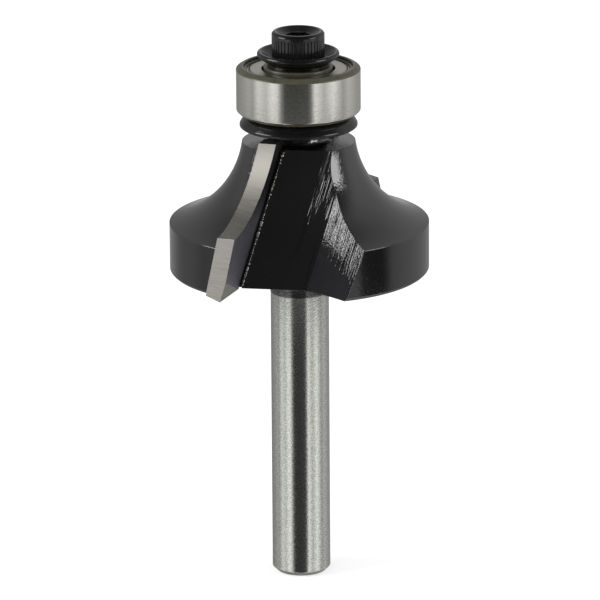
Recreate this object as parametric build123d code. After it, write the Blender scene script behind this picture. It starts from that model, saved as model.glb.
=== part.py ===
"""Two-flute rounding-over router bit with a guide bearing on its tip end.

Millimetres. The origin is the centre of the shank's end face and +Z runs up the spin axis to the
bearing. The front cutting tip lies towards -Y, and the rear one is the same thing turned half way
round. The bit cuts when it turns counter-clockwise, seen from the bearing end.
"""
import os
from math import asin, cos, radians, sin, sqrt, tan

from build123d import *

# ---- Shank ----------------------------------------------------------------------------------
shank_diameter = 6.0
shank_length = 32.5             # end face to the underside of the head
shank_end_chamfer = 0.5
shank_root_chamfer = 0.3        # where the shank meets the head

# ---- Cutting profile ------------------------------------------------------------------------
round_over_radius = 8.0         # radius that the bit leaves on the work
cutting_land = 6.9              # straight cutting edge between the arc and the tips' lower end
tip_overhang = 0.2              # how far the tips reach below the head
tip_thickness = 2.0
tip_seat_depth = 0.4            # how far the pocket is sunk below the gullet floor
braze_gap = 0.36                # width of the pocket left open in front of the rake face
flank_relief_angle = 12.0
tip_end_relief = 6.0            # fall of the tip's upper end behind the edge
edge_bevel_height = 2.2         # ground bevel on the lowest stretch of the cutting edge
edge_bevel_depth = 0.22

# ---- Head -----------------------------------------------------------------------------------
rim_setback = 1.05              # steel rim inside the cutting circle
rim_drop = 1.6                  # top of the straight rim below the start of the arc
head_drop = 1.1                 # head's top face below the upper end of the tips
top_face_setback = 0.55         # edge of the top face inside the bearing's outside
relief_arc_extra = 2.25         # how much flatter the steel's arc is than the cutting arc
rim_edge_chamfer = 0.25
neck_diameter = 5.6
neck_height = 1.5

# ---- Gullets and rake ------------------------------------------------------------------------
hook_angle = 18.3               # rake face against the YZ plane, seen along the axis
shear_angle = 13.5              # lean of the cutting edge along the axis
rake_offset = 0.62              # rake face from the axis, level with the head's top face
floor_distance = 3.85           # gullet floor from the axis at the rake face, at the same level
floor_slope_angle = 14.0        # the floor comes nearer to the axis towards the bearing
floor_width = 4.66
floor_tilt = 9.0
wall_foot_width = 2.0           # flat foot of the far wall
wall_foot_tilt = 14.0
wall_chord = 7.15               # rest of the far wall, straight across its hollow
wall_tilt = 44.5
wall_hollow = 0.55              # depth of the curve that the milling cutter leaves

# ---- Guide bearing ---------------------------------------------------------------------------
bearing_bore = 4.7625
bearing_outside = 12.7
bearing_width = 4.978
outer_ring_chamfer = 0.45
inner_ring_chamfer = 0.15
ball_diameter = 2.381
ball_count = 7
ball_clearance = 0.02           # ball to each groove
groove_conformity = 0.53        # groove radius as a share of the ball's diameter
race_gap = 1.64                 # between the lands of the two rings
outer_ring_lip = 0.8            # wall of the outer ring round the shields
shield_seat_depth = 0.62        # shield's seat below the face of the ring
shield_thickness = 0.2
shield_dish = 0.12              # height of the raised middle of a shield
shield_flange = 0.5             # flat outer band that sits on the seat
shield_gap = 0.2                # shield to the inner ring
snap_ring_thickness = 0.2
snap_ring_width = 0.4
snap_groove_depth = 0.12
snap_ring_opening = 35.0        # gap between the ring's ends, degrees
cage_thickness = 0.2
cage_side_clearance = 0.2       # cage to each land
cage_pocket_clearance = 0.06    # cage to each ball
rivet_diameter = 0.5
rivet_end_height = 0.1          # beyond the cage

# ---- Spigot, washers and screw ----------------------------------------------------------------
spigot_clearance = 0.01         # spigot to the bore of the inner ring
spigot_recess = 0.3             # spigot's end below the bearing's face
spigot_chamfer = 0.2
screw_thread_diameter = 3.0
screw_length = 10.0             # under the head
screw_end_chamfer = 0.3
screw_head_diameter = 5.4
screw_head_height = 3.0
screw_head_edge_radius = 0.45
socket_across_flats = 2.5
socket_depth = 1.5
socket_mouth_diameter = 3.4
socket_mouth_depth = 0.3
knurl_count = 42
knurl_depth = 0.09
knurl_width = 0.24
knurl_top_margin = 0.72         # smooth band above the knurl
thread_clearance = 0.02         # screw to the hole, both drawn without their thread
thread_hole_spare = 1.1         # hole past the screw's end
drill_point_angle = 59.0        # half angle of the hole's conical end

dust_washer_diameter = 12.05
dust_washer_thickness = 1.28
dust_washer_lower_bevel = 0.42
dust_washer_top_bevel_height = 0.8
dust_washer_top_bevel_width = 0.48
dust_boss_diameter = 6.8
dust_boss_height = 0.12         # holds the disc clear of the turning outer ring
dust_washer_clearance = 0.05

washer_hub_diameter = 6.36
washer_hub_height = 0.35
washer_floor_thickness = 0.6
washer_diameter = 8.4
washer_rim_low = 0.92           # rim's lower edge above the bearing
washer_rim_high = 1.5
washer_rim_width = 0.4
washer_rim_chamfer = 0.15
washer_bore_clearance = 0.1
washer_floor_clearance = 0.15   # screw head to the foot of the dish

# ---- Worked-out sizes --------------------------------------------------------------------------
bearing_radius = bearing_outside / 2
cutting_radius = bearing_radius + round_over_radius
rim_radius = cutting_radius - rim_setback
top_face_radius = bearing_radius - top_face_setback
relief_arc_radius = round_over_radius + relief_arc_extra

z_head = shank_length
z_tip_low = z_head - tip_overhang
z_arc = z_tip_low + cutting_land
z_tip_high = z_arc + round_over_radius
z_rim = z_arc - rim_drop
z_top_face = z_tip_high - head_drop
z_neck = z_top_face + neck_height
z_bearing = z_neck + dust_washer_thickness + dust_boss_height
z_bearing_middle = z_bearing + bearing_width / 2
z_bearing_top = z_bearing + bearing_width
z_spigot = z_bearing_top - spigot_recess
z_screw_seat = z_bearing_top + washer_floor_thickness

spigot_radius = bearing_bore / 2 - spigot_clearance
thread_radius = screw_thread_diameter / 2
pitch_radius = (bearing_bore + bearing_outside) / 4
ball_radius = ball_diameter / 2
groove_radius = groove_conformity * ball_diameter
inner_land_radius = pitch_radius - race_gap / 2
outer_land_radius = pitch_radius + race_gap / 2
recess_radius = bearing_radius - outer_ring_lip
cage_inner_radius = inner_land_radius + cage_side_clearance
cage_outer_radius = outer_land_radius - cage_side_clearance
pocket_radius = ball_radius + cage_pocket_clearance
shield_seat = bearing_width / 2 - shield_seat_depth

hook = tan(radians(hook_angle))
shear = tan(radians(shear_angle))
floor_slope = tan(radians(floor_slope_angle))
rake_normal = Vector(1, -hook, -shear).normalized()
flute_direction = Vector(hook * floor_slope + shear, floor_slope, 1)
overshoot = 2 * cutting_radius  # reach of a cutting tool past the head


# ---- Helpers -----------------------------------------------------------------------------------
def turned(*edges, arc=360):
    """Revolve a closed outline, drawn as (radius, height), about the spin axis."""
    return revolve(Plane.XZ * make_face(Curve() + list(edges)), Axis.Z, arc)


def ring(inner, outer, low, high):
    """A plain ring of rectangular section."""
    return turned(Polyline((inner, low), (outer, low), (outer, high), (inner, high), close=True))


def both_sides(shape):
    """The front piece or cut, and the same turned half way round for the rear."""
    return [shape, Rot(0, 0, 180) * shape]


def on_rake(y, z):
    """The point of the front rake face at a given y and z."""
    return Vector(-rake_offset + hook * y + shear * (z - z_top_face), y, z)


def seat_y(z, depth=0.0):
    """The gullet floor at the rake face, or a depth below that floor, at height z."""
    return -floor_distance + depth + floor_slope * (z - z_top_face)


def edge_point(z):
    """The point of the straight cutting edge at height z."""
    level = -rake_offset + shear * (z - z_top_face)
    a = 1 + hook ** 2
    b = level * hook
    c = level ** 2 - cutting_radius ** 2
    return on_rake((-b - sqrt(b ** 2 - a * c)) / a, z)


# ---- Bit body ------------------------------------------------------------------------------------
def turned_blank():
    """Shank, head, neck and spigot before any milling."""
    shank_radius = shank_diameter / 2
    neck_radius = neck_diameter / 2
    root = shank_root_chamfer
    edge = rim_edge_chamfer
    return turned(
        Polyline((0, z_spigot), (0, 0), (shank_radius - shank_end_chamfer, 0),
                 (shank_radius, shank_end_chamfer), (shank_radius, z_head - root),
                 (shank_radius + root, z_head), (rim_radius - edge, z_head),
                 (rim_radius, z_head + edge), (rim_radius, z_rim)),
        RadiusArc((rim_radius, z_rim), (top_face_radius, z_top_face), relief_arc_radius),
        Polyline((top_face_radius, z_top_face), (neck_radius, z_top_face), (neck_radius, z_neck),
                 (spigot_radius, z_neck), (spigot_radius, z_spigot - spigot_chamfer),
                 (spigot_radius - spigot_chamfer, z_spigot), (0, z_spigot)),
    )


def gullet():
    """The front chip gullet, milled right through the head along the flute's slant."""
    corner = on_rake(-floor_distance, z_top_face)
    floor_end = corner + Vector(floor_width, 0).rotate(Axis.Z, -floor_tilt)
    wall_start = floor_end + Vector(wall_foot_width, 0).rotate(Axis.Z, -wall_foot_tilt)
    wall_middle = wall_start + Vector(wall_chord / 2, wall_hollow).rotate(Axis.Z, -wall_tilt)
    wall_end = wall_start + Vector(wall_chord, 0).rotate(Axis.Z, -wall_tilt)
    outside = on_rake(-overshoot, z_top_face)
    section = make_face(
        Polyline(wall_end, Vector(wall_end.X, outside.Y, outside.Z), outside, corner, floor_end,
                 wall_start)
        + ThreePointArc(wall_start, wall_middle, wall_end))
    below = z_top_face - z_head + rim_setback
    start = section.translate(-flute_direction * below)
    run = flute_direction * (below + head_drop)
    return extrude(start, amount=run.length, dir=run)


def tip_pocket():
    """The slot that the front tip is brazed into, sunk below the gullet floor."""
    low = z_tip_low - rim_setback
    outline = make_face(Polyline(
        on_rake(seat_y(low, tip_seat_depth), low), on_rake(-overshoot, low),
        on_rake(-overshoot, z_top_face), on_rake(seat_y(z_top_face, tip_seat_depth), z_top_face),
        close=True))
    front = outline.translate(rake_normal * braze_gap)
    return extrude(front, amount=braze_gap + tip_thickness, dir=-rake_normal)


def screw_hole():
    """The blind hole for the bearing screw, with its drilled end."""
    radius = thread_radius + thread_clearance
    bottom = z_screw_seat - screw_length - thread_hole_spare
    point = bottom - radius / tan(radians(drill_point_angle))
    return turned(Polyline((0, point), (radius, bottom), (radius, z_spigot), (0, z_spigot), close=True))


def bit_body():
    cuts = both_sides(gullet()) + both_sides(tip_pocket()) + [screw_hole()]
    return turned_blank() - cuts


# ---- Carbide tips --------------------------------------------------------------------------------
def cutting_envelope():
    """The solid that the cutting edges sweep out as the bit spins."""
    low = z_tip_low - tip_thickness
    return turned(
        Polyline((0, z_tip_high), (0, low), (cutting_radius, low), (cutting_radius, z_arc)),
        RadiusArc((cutting_radius, z_arc), (bearing_radius, z_tip_high), round_over_radius),
        Line((bearing_radius, z_tip_high), (0, z_tip_high)),
    )


def tip_plate(spare=0.0):
    """Outline of the front tip's plate on the rake plane, from its seat outwards."""
    low = z_tip_low - spare
    high = z_tip_high + tip_thickness
    depth = tip_seat_depth + spare
    return make_face(Polyline(
        on_rake(seat_y(low, depth), low), on_rake(-overshoot, low),
        on_rake(-overshoot, high), on_rake(seat_y(high, depth), high), close=True))


def carbide_tip():
    """The front tip: a flat plate whose ground flank falls away behind the whole edge."""
    plate = extrude(tip_plate(), amount=tip_thickness, dir=-rake_normal)
    ground_face = tip_plate(spare=tip_thickness) & cutting_envelope()
    edge = edge_point(z_arc)
    behind = asin(-edge.X / cutting_radius)
    relief = radians(flank_relief_angle)
    away = Vector(-cos(behind + relief), sin(behind + relief), -tan(radians(tip_end_relief)))
    reach = tip_thickness / -away.normalized().dot(rake_normal)
    flank = extrude(ground_face, amount=reach, dir=away)
    tip = plate & flank
    foot = on_rake(seat_y(z_tip_low, tip_seat_depth), z_tip_low)
    upper = edge_point(z_tip_low + edge_bevel_height)
    lower = edge_point(z_tip_low) - rake_normal * edge_bevel_depth
    bevel = Plane(origin=foot, x_dir=upper - foot, z_dir=(upper - foot).cross(lower - foot))
    return split(tip, bevel, keep=Keep.BOTTOM if bevel.z_dir.X > 0 else Keep.TOP)


# ---- Guide bearing, drawn about its own middle ----------------------------------------------------
def groove_half_width(centre_radius, land_radius):
    return sqrt(groove_radius ** 2 - (centre_radius - land_radius) ** 2)


def inner_ring():
    bore = bearing_bore / 2
    half = bearing_width / 2
    corner = inner_ring_chamfer
    bottom = pitch_radius - ball_radius - ball_clearance
    reach = groove_half_width(bottom + groove_radius, inner_land_radius)
    land = inner_land_radius
    return turned(
        ThreePointArc((land, -reach), (bottom, 0), (land, reach)),
        Polyline((land, reach), (land, half - corner), (land - corner, half), (bore + corner, half),
                 (bore, half - corner), (bore, corner - half), (bore + corner, -half),
                 (land - corner, -half), (land, corner - half), (land, -reach)),
    )


def outer_ring():
    half = bearing_width / 2
    corner = outer_ring_chamfer
    bottom = pitch_radius + ball_radius + ball_clearance
    reach = groove_half_width(bottom - groove_radius, outer_land_radius)
    snap_radius = recess_radius + snap_groove_depth
    snap_low = shield_seat + shield_thickness
    snap_high = snap_low + snap_ring_thickness
    upper = [(outer_land_radius, reach), (outer_land_radius, shield_seat),
             (recess_radius, shield_seat), (recess_radius, snap_low), (snap_radius, snap_low),
             (snap_radius, snap_high), (recess_radius, snap_high), (recess_radius, half),
             (bearing_radius - corner, half), (bearing_radius, half - corner)]
    return turned(
        ThreePointArc((outer_land_radius, -reach), (bottom, 0), (outer_land_radius, reach)),
        Polyline(*upper, *[(r, -z) for r, z in reversed(upper)]),
    )


def ball_places():
    return PolarLocations(pitch_radius, ball_count)


def radial_cylinder(radius):
    """A cylinder that points away from the spin axis, as long as a ball."""
    return Rot(0, 90, 0) * Cylinder(radius, ball_diameter)


def cage_half():
    """The upper pressed ribbon: flat between the balls and arched over each one."""
    cups = [place * radial_cylinder(pocket_radius + cage_thickness) for place in ball_places()]
    pockets = [place * radial_cylinder(pocket_radius) for place in ball_places()]
    rivets = [place * Cylinder(rivet_diameter / 2, 3 * cage_thickness) for place in rivet_places()]
    flat = ring(cage_inner_radius, cage_outer_radius, 0, cage_thickness)
    band = ring(cage_inner_radius, cage_outer_radius, 0, pocket_radius + cage_thickness)
    return (flat + [cup & band for cup in cups]) - pockets - rivets


def rivet_places():
    return PolarLocations(pitch_radius, ball_count, start_angle=180 / ball_count)


def rivet():
    """A plain pin through both halves of the cage, proud at each end."""
    return Cylinder(rivet_diameter / 2, 2 * (cage_thickness + rivet_end_height))


def shield():
    """The upper shield: a pressed washer, flat where it sits and raised inside."""
    outer = recess_radius
    inner = inner_land_radius + shield_gap
    step = outer - shield_flange
    slope = shield_dish
    low = shield_seat
    high = low + shield_thickness
    return turned(Polyline(
        (outer, low), (outer, high), (step, high), (step - slope, high + shield_dish),
        (inner, high + shield_dish), (inner, low + shield_dish), (step - slope, low + shield_dish),
        (step, low), close=True))


def snap_ring():
    """The upper snap ring, sprung into its groove on top of the shield."""
    outer = recess_radius + snap_groove_depth
    inner = outer - snap_ring_width
    low = shield_seat + shield_thickness
    high = low + snap_ring_thickness
    section = Polyline((inner, low), (outer, low), (outer, high), (inner, high), close=True)
    return Rot(0, 0, snap_ring_opening / 2) * turned(section, arc=360 - snap_ring_opening)


# ---- Washers and screw -----------------------------------------------------------------------------
def dust_washer():
    bore = spigot_radius + dust_washer_clearance
    outer = dust_washer_diameter / 2
    boss = dust_boss_diameter / 2
    top = dust_washer_thickness
    bevel = dust_washer_lower_bevel
    return turned(Polyline(
        (bore, 0), (outer - bevel, 0), (outer, bevel), (outer, top - dust_washer_top_bevel_height),
        (outer - dust_washer_top_bevel_width, top), (boss, top), (boss, top + dust_boss_height),
        (bore, top + dust_boss_height), close=True))


def retaining_washer():
    """A dished washer: a hub on the inner ring, a floor for the screw and an upturned rim."""
    bore = thread_radius + washer_bore_clearance
    hub = washer_hub_diameter / 2
    outer = washer_diameter / 2
    floor = screw_head_diameter / 2 + washer_floor_clearance
    edge = washer_rim_chamfer
    return turned(Polyline(
        (outer - washer_rim_width, washer_rim_high), (floor, washer_floor_thickness),
        (bore, washer_floor_thickness), (bore, 0), (hub, 0), (hub, washer_hub_height),
        (outer - edge, washer_rim_low), (outer, washer_rim_low + edge),
        (outer, washer_rim_high - edge), (outer - edge, washer_rim_high), close=True))


def bearing_screw():
    """Socket-head cap screw with a straight knurl, its seat at height 0."""
    head = screw_head_diameter / 2
    top = screw_head_height
    edge = screw_head_edge_radius
    body = turned(
        Polyline((0, top), (0, -screw_length), (thread_radius - screw_end_chamfer, -screw_length),
                 (thread_radius, screw_end_chamfer - screw_length), (thread_radius, 0), (head, 0),
                 (head, top - edge)),
        RadiusArc((head, top - edge), (head - edge, top), -edge),
        Line((head - edge, top), (0, top)),
    )
    socket = Pos(0, 0, top - socket_depth) * extrude(
        RegularPolygon(socket_across_flats / 2, 6, major_radius=False), socket_depth)
    mouth = Pos(0, 0, top - socket_mouth_depth / 2) * Cone(
        socket_across_flats / 2, socket_mouth_diameter / 2, socket_mouth_depth)
    notch = Polyline((head - knurl_depth, 0), (head, knurl_width / 2), (head + knurl_depth, 0),
                     (head, -knurl_width / 2), close=True)
    groove = extrude(make_face(notch), top - knurl_top_margin)
    knurl = [turn * groove for turn in PolarLocations(0, knurl_count)]
    return body - [socket, mouth] - knurl


# ---- Assembly ----------------------------------------------------------------------------------------
def bearing_pieces():
    """Every piece of the guide bearing, in its place on the spigot."""
    place = Pos(0, 0, z_bearing_middle)
    cage = cage_half()
    upper_shield = shield()
    upper_snap_ring = snap_ring()
    pieces = {
        "bearing_inner_ring": inner_ring(),
        "bearing_outer_ring": outer_ring(),
        "cage_upper": cage,
        "cage_lower": mirror(cage, Plane.XY),
        "cage_rivets": Compound(children=[spot * rivet() for spot in rivet_places()]),
        "shield_upper": upper_shield,
        "shield_lower": mirror(upper_shield, Plane.XY),
        "snap_ring_upper": upper_snap_ring,
        "snap_ring_lower": mirror(upper_snap_ring, Plane.XY),
    }
    for number, spot in enumerate(ball_places(), start=1):
        pieces[f"ball_{number}"] = spot * Sphere(ball_radius)
    return {name: place * piece for name, piece in pieces.items()}


def router_bit():
    front_tip, rear_tip = both_sides(carbide_tip())
    return {
        "bit_body": bit_body(),
        "carbide_tip_front": front_tip,
        "carbide_tip_rear": rear_tip,
        "dust_washer": Pos(0, 0, z_neck) * dust_washer(),
        **bearing_pieces(),
        "retaining_washer": Pos(0, 0, z_bearing_top) * retaining_washer(),
        "bearing_screw": Pos(0, 0, z_screw_seat) * bearing_screw(),
    }


os.makedirs("parts", exist_ok=True)
for name, piece in router_bit().items():
    export_step(piece, f"parts/{name}.step")
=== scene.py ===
"""Two-flute rounding-over router bit with a guide bearing: its finished look over the frame."""

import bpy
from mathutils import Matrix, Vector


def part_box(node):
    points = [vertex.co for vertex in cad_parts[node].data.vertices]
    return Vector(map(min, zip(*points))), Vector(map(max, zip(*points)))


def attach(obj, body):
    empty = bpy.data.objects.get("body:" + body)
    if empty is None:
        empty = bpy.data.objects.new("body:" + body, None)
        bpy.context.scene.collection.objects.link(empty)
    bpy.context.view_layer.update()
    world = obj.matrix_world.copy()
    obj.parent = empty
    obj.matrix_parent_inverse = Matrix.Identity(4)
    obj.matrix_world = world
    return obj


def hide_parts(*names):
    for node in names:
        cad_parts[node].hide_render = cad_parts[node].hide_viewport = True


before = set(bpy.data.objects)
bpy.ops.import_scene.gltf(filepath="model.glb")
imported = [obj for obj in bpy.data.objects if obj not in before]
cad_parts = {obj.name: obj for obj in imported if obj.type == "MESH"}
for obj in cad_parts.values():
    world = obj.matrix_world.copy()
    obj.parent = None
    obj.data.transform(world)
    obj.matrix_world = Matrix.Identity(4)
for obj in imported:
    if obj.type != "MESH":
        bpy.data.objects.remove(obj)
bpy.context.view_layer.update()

from math import asin, atan2, cos, pi, radians, sin, sqrt, tan

import bmesh
import bpy
from bpy.props import FloatProperty, FloatVectorProperty, IntProperty, PointerProperty
from mathutils import Matrix, Vector

bl_info = {
    "name": "Rounding-over router bit",
    "version": (1, 0, 0),
    "blender": (4, 5, 0),
    "location": "View3D > Sidebar > Router bit",
    "description": "Builds the finished router bit piece by piece over its packed frame",
    "category": "Object",
}

MM = 0.001

# ---- Sizes of the turned steel, in mm
SHANK_R, SHANK_CHAMFER, SHANK_TOP = 3.0, 0.5, 32.5
COAT_LOW, COAT_PROUD, ROOT_CHAMFER = 30.1, 0.03, 0.3
RIM_R, RIM_TOP, RIM_CHAMFER = 13.3, 37.6, 0.25
TOP_FACE_R, TOP_FACE = 5.8, 46.1
FLARE_R = 10.25
NECK_R, NECK_TOP, NECK_FILLET = 2.8, 47.6, 1.0
SPIGOT_R, SPIGOT_TOP, SPIGOT_CHAMFER = 2.37125, 53.678, 0.2
HOLE_R, HOLE_LOW, HOLE_POINT = 1.52, 43.478, 42.565

# ---- Gullets, rake faces and tips
HOOK, SHEAR, FLOOR_SLOPE = tan(radians(18.3)), tan(radians(13.5)), tan(radians(14.0))
RAKE_OFFSET, FLOOR_DISTANCE = 0.62, 3.85
FLOOR_WIDTH, FLOOR_TILT = 4.66, 9.0
FOOT_WIDTH, FOOT_TILT = 2.45, 14.0
WALL_CHORD, WALL_TILT, WALL_HOLLOW = 6.77, 46.4, 0.3
TIP_LOW, TIP_ARC, TIP_HIGH = 32.3, 39.2, 47.2
CUTTING_R, GUIDE_R, ROUND_OVER = 14.35, 6.35, 8.0
TIP_THICKNESS, SEAT_DEPTH, BRAZE_GAP, BACK_GAP = 2.0, 0.4, 0.36, 0.12
RELIEF, END_RELIEF = 12.0, 6.0
BEVEL_HEIGHT, BEVEL_DEPTH = 2.2, 0.22
DROP_R, DROP_PITCH, DROP_STEPS, FIRST_DROPS, FIRST_SWELL = 0.115, 0.4, 540, 0.1, 1.9
RAKE_NORMAL = Vector((1, -HOOK, -SHEAR)).normalized()
FLUTE = Vector((HOOK * FLOOR_SLOPE + SHEAR, FLOOR_SLOPE, 1))
HALF_TURN = Matrix.Rotation(pi, 4, "Z")

# ---- Guide bearing, washers and screw
RECESS_R, RECESS, LAND_R = 5.55, 0.62, 5.1856
WIRE_TOP, WIRE_FOOT, WIRE_SINK = 0.22, 0.42, 0.12
RING_EDGE, LOWER_EDGE, UPPER_EDGE = 0.45, 0.4, 0.3
BORE_R, INNER_LAND_R = 2.38125, 3.5456
PITCH_R, BALL_R, GROOVE_R, BALL_PLAY = 4.3656, 1.1905, 1.1905 * 1.06, 0.02
SNAP_TURN, SNAP_START, SNAP_SEGMENTS = 325.0, 107.5, 220
# Outlines as (radius, height above the seat, rounding).
SHIELD = [(RECESS_R, 0, 0), (RECESS_R, 0.2, 0.05), (5.05, 0.2, 0.1), (4.93, 0.32, 0.1),
          (3.7456, 0.32, 0.06), (3.7456, 0.12, 0.05), (4.93, 0.12, 0.1), (5.05, 0, 0.1)]
SNAP_RING = [(5.27, 0.2, 0.06), (5.67, 0.2, 0.06), (5.67, 0.4, 0.06), (5.27, 0.4, 0.06)]
DUST_WASHER = [(2.42125, 0, 0.05), (5.86, 0, 0.05), (6.025, 0.12, 0.05), (6.025, 0.36, 0.06),
               (5.75, 0.8, 0.3), (5.3, 1.28, 0.08), (3.4, 1.28, 0.05), (3.4, 1.4, 0.04),
               (2.42125, 1.4, 0.05)]
RETAINING_WASHER = [(1.6, 0, 0.05), (3.18, 0, 0.06), (3.18, 0.35, 0.06), (4.05, 0.92, 0.1),
                    (4.2, 1.07, 0.12), (4.2, 1.35, 0.12), (4.05, 1.5, 0.1), (3.8, 1.5, 0.08),
                    (2.85, 0.6, 0.1), (1.6, 0.6, 0.05)]
SCREW_R, HEAD_R, HEAD_HEIGHT, HEAD_CHAMFER = 1.5, 2.7, 3.0, (0.2, 0.24)
KNURL_LOW, KNURL_MARGIN, KNURL_RUNOUT, KNURL_HALF_WIDTH = 0.1, 0.72, 0.12, 0.085
KNURL_ROWS, KNURL_STEPS = 6, 8
MOUTH_R, MOUTH_FLOOR_R, MOUTH_DEPTH = 2.2, 1.4, 0.46
SOCKET_HALF_WIDTH, SOCKET_DEPTH = 1.25, 1.5

# ---- Finishes
COAT_IOR, OXIDE_IOR = 2.0, 1.6
COAT_WEAR, FILM_WEAR, OXIDE_WEAR, CARBIDE_WEAR, RAKE_WEAR = 0.1, 0.4, 0.15, 0.5, 0.6
FOOT_LINES, WALL_LINES = (0.14, 0.12, (40.4, 42.2)), (0.1, 0.5, (38.9, 40.2))
# The second pair gives the heights in mm over which the rake face takes painted shade towards the
# neck.
GRAIN_RISE, PAINTED_SHADE_RISE = (37.6, 39.5), (39.4, 42.4)
RGBA = {"out": 2, "data_type": "RGBA"}

# ---- Stage: camera, lamps and the brightness of the cards as (degrees from the front, level)
CAMERA_PLACE, CAMERA_PITCH, CAMERA_ROLL = (0.00002, -0.62509, 0.21404), 90 - 16.484, -0.384
CAMERA_LENS, CAMERA_SENSOR, CAMERA_CLIP = 380.64, 36.0, (0.01, 20.0)
FLOOR_R, FLOOR_GLOW, WORLD_LEVEL = 6.0, 0.42, 0.6
CARD_DISTANCE, CARD_MIDDLE, CARD_BLEND = 3.0, 0.03, (-0.24, -0.15)
TABLE_REACH, TABLE_HEIGHT, TABLE_STEP = (0.105, 0.184), 0.0003, 3
LAMP_DISTANCE, LAMP_AIM = 0.6, 0.04
SOFT_BOXES = (("softbox_left", -77, 0.2, 2.0, (0.35, 0.38)),
              ("softbox_right", 67.5, 0.2, 1.15, (0.31, 0.34)))
LOW_CARDS = [(-180, 0.33), (-150, 0.27), (-120, 0.42), (-104, 0.52), (-94, 0.45), (-80, 0.98),
             (-62, 0.75), (-50, 1.2), (-40, 1.1), (-32, 0.3), (-25, 0.06), (-6, 0.05), (17, 0.07),
             (23, 0.2), (31, 1.2), (48, 0.66), (67, 1.2), (90, 0.45), (106, 0.62), (135, 0.4),
             (160, 0.33), (180, 0.33)]
HIGH_CARDS = [(-180, 0.6), (-172, 0.3), (-130, 0.28), (-112, 0.4), (-60, 0.15), (-42, 0.05),
              (25, 0.05), (45, 0.1), (84, 0.14), (94, 0.35), (106, 0.52), (140, 0.38),
              (172, 0.35), (180, 0.6)]
HIGH_FALL = [(0.0, 1.0), (0.5, 1.0), (0.75, 0.75), (0.9, 0.4)]
TABLE_CARDS = [(-180, 0.4), (-140, 0.37), (-131, 0.3), (-120, 0.27), (-105, 0.31), (-91, 0.23),
               (-60, 0.33), (-20, 0.2), (20, 0.2), (40, 0.36), (50, 0.38), (55, 0.05),
               (64, 0.02), (75, 0.02), (80, 0.1), (86, 0.3), (100, 0.36), (124, 0.38),
               (135, 0.37), (159, 0.35), (180, 0.4)]


# ---- Mesh helpers
def finish_mesh(name, bm, materials, sharp=28.0):
    """Turns a bmesh drawn in mm into a smooth-shaded object in metres."""
    bmesh.ops.recalc_face_normals(bm, faces=bm.faces)
    bmesh.ops.scale(bm, vec=(MM, MM, MM), verts=bm.verts)
    mesh = bpy.data.meshes.new(name)
    bm.to_mesh(mesh)
    bm.free()
    for material in materials:
        mesh.materials.append(material)
    mesh.shade_smooth()
    mesh.set_sharp_from_angle(angle=radians(sharp))
    piece = bpy.data.objects.new(name, mesh)
    bpy.context.scene.collection.objects.link(piece)
    return piece


def soften(corners, closed, steps=4, hold=0.015):
    """Rounds each corner (radius, height, rounding, material) of an outline.

    A held point beside each rounding keeps the flat next to it shaded flat.
    """
    points = []
    count = len(corners)
    for i, (r, z, rounding, material) in enumerate(corners):
        here = Vector((r, z))
        if rounding <= 0 or (not closed and i in (0, count - 1)):
            points.append((r, z, material))
            continue
        back = Vector(corners[i - 1][:2]) - here
        ahead = Vector(corners[(i + 1) % count][:2]) - here
        reach = min(rounding, back.length * 0.45, ahead.length * 0.45)
        start, end = here + back.normalized() * reach, here + ahead.normalized() * reach
        spots = [start + back.normalized() * hold]
        spots += [start * (1 - t) ** 2 + here * 2 * t * (1 - t) + end * t ** 2
                  for t in (k / steps for k in range(steps + 1))]
        spots.append(end + ahead.normalized() * hold)
        before = corners[i - 1][3]
        points += [(spot.x, spot.y, before if k == 0 else material)
                   for k, spot in enumerate(spots)]
    return points


def lathe(corners, closed=True, segments=256, turn=360.0, start=0.0):
    """Revolves an outline about the spin axis, as a bmesh in mm."""
    outline = soften(corners, closed)
    bm = bmesh.new()
    full = turn >= 360
    rows = []
    for k in range(segments if full else segments + 1):
        angle = radians(start + turn * k / segments)
        rows.append([None if r < 1e-6 else bm.verts.new((r * cos(angle), r * sin(angle), z))
                     for r, z, _ in outline])
    poles = {i: bm.verts.new((0, 0, z)) for i, (r, z, _) in enumerate(outline) if r < 1e-6}
    spans = len(outline) if closed else len(outline) - 1
    for k in range(segments):
        here, after = rows[k], rows[(k + 1) % len(rows)]
        for i in range(spans):
            j = (i + 1) % len(outline)
            ring = [here[i], after[i], after[j], here[j]]
            if i in poles:
                ring = [poles[i], after[j], here[j]]
            elif j in poles:
                ring = [here[i], after[i], poles[j]]
            bm.faces.new(ring).material_index = outline[i][2]
    if not full:
        bm.faces.new(rows[0])
        bm.faces.new(rows[-1])
    return bm


def raised(outline, base):
    """An outline (radius, height, rounding) lifted to its seat, with one finish all round."""
    return [(r, base + z, rounding, 0) for r, z, rounding in outline]


def prism(points, run, face_materials=()):
    """A straight bar with the given end face, as a bmesh in mm."""
    bm = bmesh.new()
    low = [bm.verts.new(p) for p in points]
    high = [bm.verts.new(Vector(p) + run) for p in points]
    bm.faces.new(low)
    bm.faces.new(high)
    for i in range(len(points)):
        j = (i + 1) % len(points)
        side = bm.faces.new((low[i], low[j], high[j], high[i]))
        side.material_index = face_materials[i] if face_materials else 0
    return bm


def turned_copy(bm):
    """The same bmesh half a turn round the spin axis, for the rear."""
    copy = bm.copy()
    bmesh.ops.transform(copy, matrix=HALF_TURN, verts=copy.verts)
    return copy


def carve(piece, cutters):
    """Cuts every cutter out of the piece and removes the cutters."""
    for cutter in cutters:
        step = piece.modifiers.new(cutter.name, "BOOLEAN")
        step.operation, step.solver, step.object = "DIFFERENCE", "EXACT", cutter
        step.material_mode = "TRANSFER"
    depsgraph = bpy.context.evaluated_depsgraph_get()
    result = bpy.data.meshes.new_from_object(piece.evaluated_get(depsgraph))
    piece.modifiers.clear()
    result.name = piece.name
    piece.data = result
    for cutter in cutters:
        bpy.data.objects.remove(cutter)


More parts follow.
